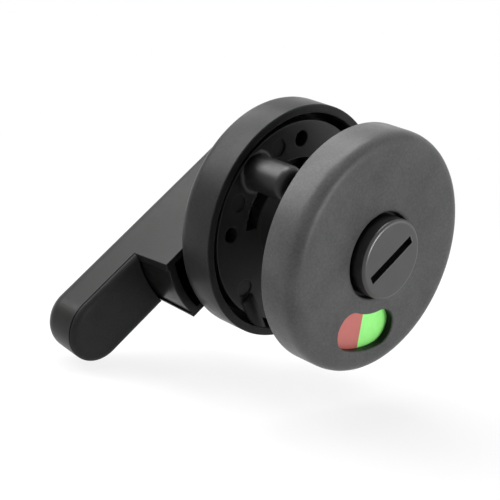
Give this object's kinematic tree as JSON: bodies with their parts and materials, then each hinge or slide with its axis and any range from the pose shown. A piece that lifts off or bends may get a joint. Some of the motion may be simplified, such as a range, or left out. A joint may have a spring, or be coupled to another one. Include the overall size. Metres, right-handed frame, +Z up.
{
  "type": "toilet indicator bolt",
  "caption": "Cubicle door bolt: a stepped lever behind a round rose turns a slotted coin turn on the other side of the door, over a kidney window that shows red or green.",
  "frame": {"origin": "on the turning axis, in the plane of the inside rose's rim, where it meets the door's inside surface", "axes": "-Y out of the door towards the coin turn, +Y towards the lever, +Z up with the window at six o'clock, +X to the right as seen from outside"},
  "size_m": [0.0832, 0.0727, 0.0772],
  "materials": {
    "rose_nylon": "fine matte moulded nylon, charcoal",
    "inside_nylon": "fine matte moulded nylon, near black",
    "plate_nylon": "smooth moulded nylon, black",
    "lever_nylon": "fine matte moulded nylon, charcoal",
    "pad_nylon": "fine grained moulded nylon, black",
    "coin_turn_nylon": "fine matte moulded nylon, charcoal",
    "bush_acetal": "smooth black acetal",
    "disc_plastic": "plain black plastic",
    "red_film": "printed film, red",
    "green_film": "printed film, green",
    "zinc_steel": "zinc plated steel",
    "spring_steel": "spring steel",
    "black_steel": "black finished steel",
    "insert_brass": "turned brass"
  },
  "bodies": {
    "roses": {"inside_cover": "inside_nylon", "inside_base_plate": "plate_nylon", "hub_bush": "bush_acetal", "wave_washer": "spring_steel", "through_bolts": "black_steel", "bolt_washers": "black_steel", "outside_cover": "rose_nylon", "outside_base_plate": "plate_nylon", "threaded_inserts": "insert_brass", "clip_washer": "spring_steel"},
    "lever": {"lever": "lever_nylon", "lever_pad": "pad_nylon", "drive_plate": "zinc_steel", "drive_screws": "zinc_steel", "spindle": "zinc_steel", "cross_pin": "spring_steel"},
    "indicator": {"coin_turn": "coin_turn_nylon", "indicator_disc": "disc_plastic", "red_field": "red_film", "green_field": "green_film", "stem_clip": "spring_steel"}
  },
  "joints": [
    {"name": "lever_turn", "type": "hinge", "parent": "roses", "child": "lever", "pos_m": [0, 0.011, 0], "axis": [0, -1, 0], "range_deg": [-40.5, 49.5]},
    {"name": "indicator_turn", "type": "hinge", "parent": "roses", "child": "indicator", "pos_m": [0, -0.0218, 0], "axis": [0, -1, 0], "range_deg": [-40.5, 49.5]}
  ],
  "couplings": [
    {"joint": "indicator_turn", "follows": "lever_turn", "ratio": 1}
  ]
}
